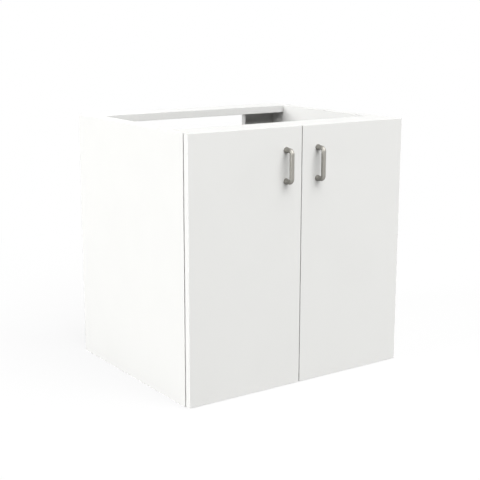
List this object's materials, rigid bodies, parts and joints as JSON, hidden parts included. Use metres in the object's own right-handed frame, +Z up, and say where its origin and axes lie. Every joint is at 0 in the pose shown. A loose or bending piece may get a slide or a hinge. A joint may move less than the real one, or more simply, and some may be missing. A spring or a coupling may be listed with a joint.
{
  "type": "vanity base cabinet",
  "caption": "White vanity base cabinet with open top and back, slab doors on concealed hinges and round-rod bow handles, made to carry a basin top.",
  "frame": {"origin": "under the middle of the bounding box, on the floor", "axes": "+X to the right seen from the front, +Y to the back, +Z up; the doors face -Y"},
  "size_m": [0.6, 0.527, 0.6],
  "materials": {
    "carcass_board": "satin white melamine",
    "door_board": "satin white foil",
    "edging": "satin white strip",
    "satin_nickel": "satin nickel",
    "nickel_plated_steel": "bright nickel plate",
    "zinc_plated_steel": "zinc plate",
    "zinc_casting": "as cast",
    "beech": "raw, fluted",
    "clear_rubber": "soft, translucent"
  },
  "bodies": {
    "carcass": {"left_side": "carcass_board", "right_side": "carcass_board", "left_side_edging": "edging", "right_side_edging": "edging", "bottom_panel": "carcass_board", "bottom_edging": "edging", "front_top_rail": "carcass_board", "front_rail_edging": "edging", "rear_top_rail": "carcass_board", "rear_rail_edging": "edging", "left_back_strip": "carcass_board", "right_back_strip": "carcass_board", "left_strip_edging": "edging", "right_strip_edging": "edging", "left_side_cleat": "carcass_board", "right_side_cleat": "carcass_board", "cleat_screws": "zinc_plated_steel", "cam_locks": "zinc_casting", "cam_bolts": "zinc_plated_steel", "dowels": "beech", "hinge_arm_pins": "nickel_plated_steel", "plate_screws": "zinc_plated_steel", "arm_clamp_screws": "zinc_plated_steel", "arm_adjusting_screws": "zinc_plated_steel", "upper_left_hinge_arm": "nickel_plated_steel", "upper_left_mounting_plate": "nickel_plated_steel", "lower_left_hinge_arm": "nickel_plated_steel", "lower_left_mounting_plate": "nickel_plated_steel", "upper_right_hinge_arm": "nickel_plated_steel", "upper_right_mounting_plate": "nickel_plated_steel", "lower_right_hinge_arm": "nickel_plated_steel", "lower_right_mounting_plate": "nickel_plated_steel"},
    "left_outer_links": {"upper_left_outer_link": "nickel_plated_steel", "lower_left_outer_link": "nickel_plated_steel"},
    "left_inner_links": {"upper_left_inner_link": "nickel_plated_steel", "lower_left_inner_link": "nickel_plated_steel", "left_link_pins": "nickel_plated_steel"},
    "left_door": {"left_door": "door_board", "left_door_edging": "edging", "left_handle": "satin_nickel", "left_handle_screws": "zinc_plated_steel", "left_door_bumpers": "clear_rubber", "left_cup_pins": "nickel_plated_steel", "left_cup_screws": "zinc_plated_steel", "upper_left_hinge_cup": "nickel_plated_steel", "lower_left_hinge_cup": "nickel_plated_steel"},
    "right_outer_links": {"upper_right_outer_link": "nickel_plated_steel", "lower_right_outer_link": "nickel_plated_steel"},
    "right_inner_links": {"upper_right_inner_link": "nickel_plated_steel", "lower_right_inner_link": "nickel_plated_steel", "right_link_pins": "nickel_plated_steel"},
    "right_door": {"right_door": "door_board", "right_door_edging": "edging", "right_handle": "satin_nickel", "right_handle_screws": "zinc_plated_steel", "right_door_bumpers": "clear_rubber", "right_cup_pins": "nickel_plated_steel", "right_cup_screws": "zinc_plated_steel", "upper_right_hinge_cup": "nickel_plated_steel", "lower_right_hinge_cup": "nickel_plated_steel"}
  },
  "joints": [
    {"name": "left_outer_link_swing", "type": "hinge", "parent": "carcass", "child": "left_outer_links", "pos_m": [-0.2635, -0.21625, 0.3], "axis": [0, 0, 1], "range_deg": [0, 31.7]},
    {"name": "left_door_swing", "type": "hinge", "parent": "left_outer_links", "child": "left_door", "pos_m": [-0.28745, -0.2225, 0.3], "axis": [0, 0, -1], "range_deg": [0, 131.7]},
    {"name": "left_inner_link_swing", "type": "hinge", "parent": "left_door", "child": "left_inner_links", "pos_m": [-0.2884, -0.2272, 0.3], "axis": [0, 0, 1], "range_deg": [0, 110.7]},
    {"name": "right_outer_link_swing", "type": "hinge", "parent": "carcass", "child": "right_outer_links", "pos_m": [0.2635, -0.21625, 0.3], "axis": [0, 0, -1], "range_deg": [0, 31.7]},
    {"name": "right_door_swing", "type": "hinge", "parent": "right_outer_links", "child": "right_door", "pos_m": [0.28745, -0.2225, 0.3], "axis": [0, 0, 1], "range_deg": [0, 131.7]},
    {"name": "right_inner_link_swing", "type": "hinge", "parent": "right_door", "child": "right_inner_links", "pos_m": [0.2884, -0.2272, 0.3], "axis": [0, 0, -1], "range_deg": [0, 110.7]}
  ],
  "couplings": [
    {"joint": "left_outer_link_swing", "follows": "left_door_swing", "ratio": 0.24069},
    {"joint": "left_inner_link_swing", "follows": "left_door_swing", "ratio": 0.84054},
    {"joint": "right_outer_link_swing", "follows": "right_door_swing", "ratio": 0.24069},
    {"joint": "right_inner_link_swing", "follows": "right_door_swing", "ratio": 0.84054}
  ]
}
